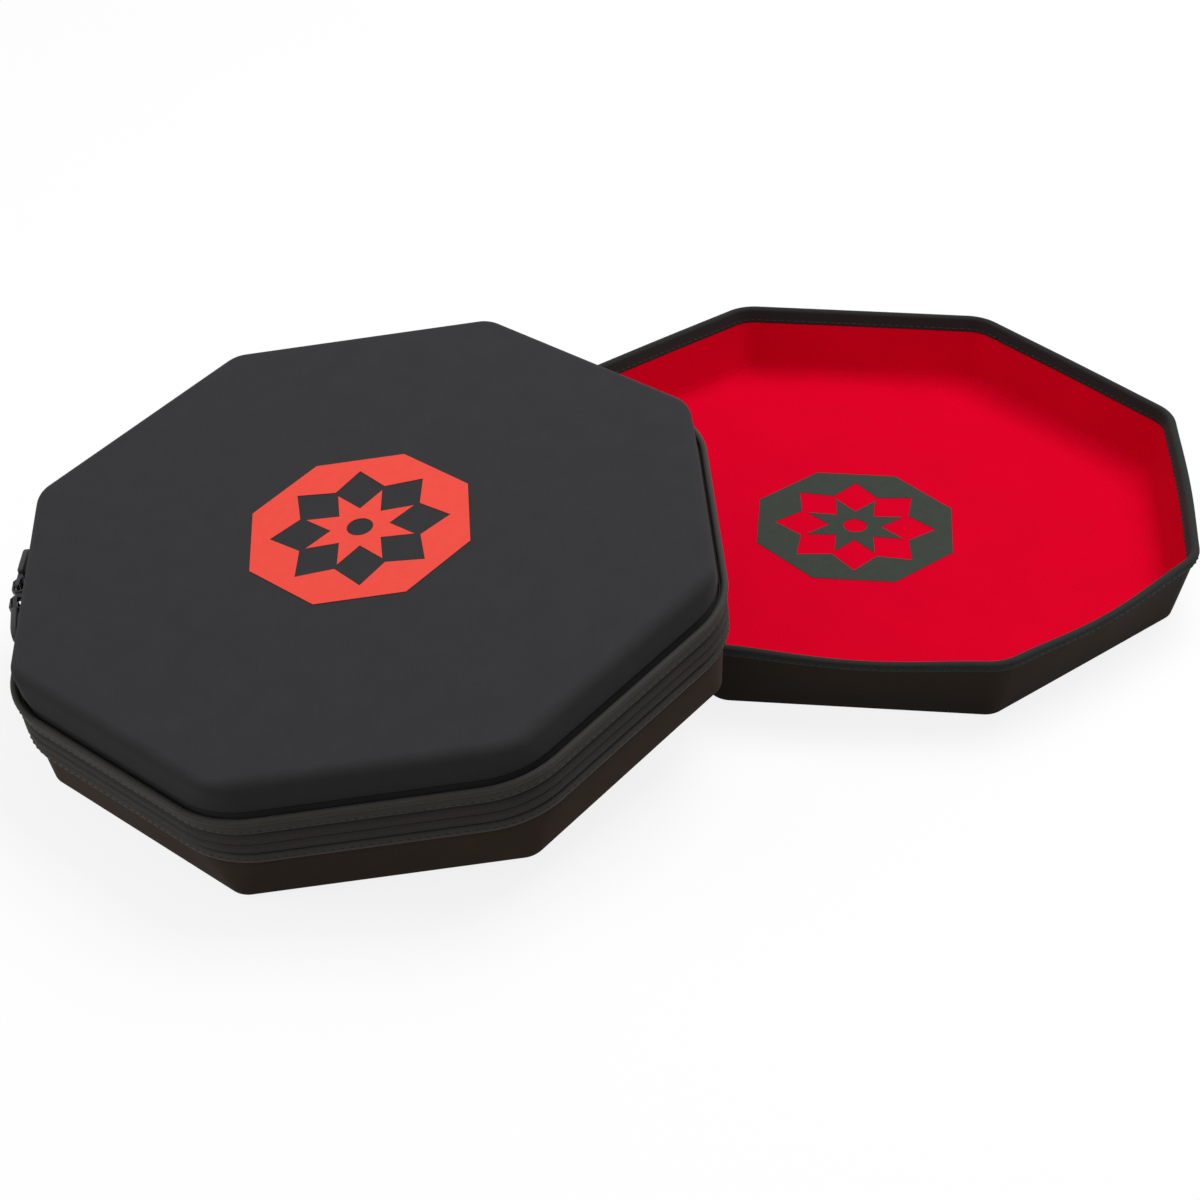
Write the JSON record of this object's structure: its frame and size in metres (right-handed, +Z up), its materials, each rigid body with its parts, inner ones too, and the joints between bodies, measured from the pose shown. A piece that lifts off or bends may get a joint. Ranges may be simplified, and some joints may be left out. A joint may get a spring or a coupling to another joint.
{
  "type": "dice rolling tray with zip case",
  "caption": "Octagonal dice rolling tray with a velvet lining, and its matching zip-up hard case leaning on the rim.",
  "frame": {"origin": "centre of the tray's underside, on the table", "axes": "+Z up, +X and +Y square to two sides of the tray's octagon; the case leans on the side that faces -X and -Y"},
  "size_m": [0.4609, 0.4022, 0.0982],
  "materials": {
    "case_cloth": "black woven cloth laminated on moulded foam, satin",
    "tray_cover": "black woven cloth laminated on moulded board, matte",
    "red_velvet": "short red velvet pile with a soft sheen",
    "binding": "black grosgrain binding",
    "piping": "black cloth folded over a cord",
    "zip_tape": "black woven polyester zip tape",
    "spine_cloth": "black woven cloth",
    "zip_coil": "black nylon coil",
    "black_metal": "black enamel on zinc, semi-gloss",
    "pull_rubber": "black moulded rubber",
    "orange_print": "orange-red screen-print ink",
    "grey_print": "dark grey screen-print ink"
  },
  "bodies": {
    "tray": {"tray_shell": "tray_cover", "tray_lining": "red_velvet", "tray_rim_binding": "binding", "tray_emblem": "grey_print"},
    "case_base": {"base_shell": "case_cloth", "base_lining": "red_velvet", "base_seam_binding": "binding", "base_piping": "piping", "base_zip_tape": "zip_tape", "base_zip_coil": "zip_coil", "base_zip_stops": "black_metal", "base_spine": "spine_cloth"},
    "lid": {"lid_shell": "case_cloth", "lid_lining": "red_velvet", "lid_seam_binding": "binding", "lid_piping": "piping", "lid_zip_tape": "zip_tape", "lid_zip_coil": "zip_coil", "lid_zip_stops": "black_metal", "lid_spine": "spine_cloth", "lid_emblem": "orange_print"},
    "front_slider": {"front_slider_body": "black_metal", "front_slider_bridge": "black_metal"},
    "front_pull": {"front_pull_link": "black_metal", "front_pull_grip": "pull_rubber"},
    "rear_slider": {"rear_slider_body": "black_metal", "rear_slider_bridge": "black_metal"},
    "rear_pull": {"rear_pull_link": "black_metal", "rear_pull_grip": "pull_rubber"}
  },
  "joints": [
    {"name": "case_lift", "type": "slide", "parent": "tray", "child": "case_base", "axis": [0, 0, 1], "range_m": [0, 0.08]},
    {"name": "lid_hinge", "type": "hinge", "parent": "case_base", "child": "lid", "pos_m": [-0.28939, -0.05212, 0.04772], "axis": [-0.5829, -0.7969, -0.1587], "range_deg": [0, 170]},
    {"name": "front_slider_run", "type": "slide", "parent": "case_base", "child": "front_slider", "axis": [0.1567, -0.9831, -0.095], "range_m": [0, 0.045]},
    {"name": "front_pull_swing", "type": "hinge", "parent": "front_slider", "child": "front_pull", "pos_m": [-0.32195, -0.13281, 0.03469], "axis": [0.1135, 0.1135, -0.987], "range_deg": [-6, 90]},
    {"name": "rear_slider_run", "type": "slide", "parent": "case_base", "child": "rear_slider", "axis": [-0.1567, 0.9831, 0.095], "range_m": [0, 0.008]},
    {"name": "rear_pull_swing", "type": "hinge", "parent": "rear_slider", "child": "rear_pull", "pos_m": [-0.32311, -0.12554, 0.0354], "axis": [-0.1135, -0.1135, 0.987], "range_deg": [-6, 90]}
  ]
}
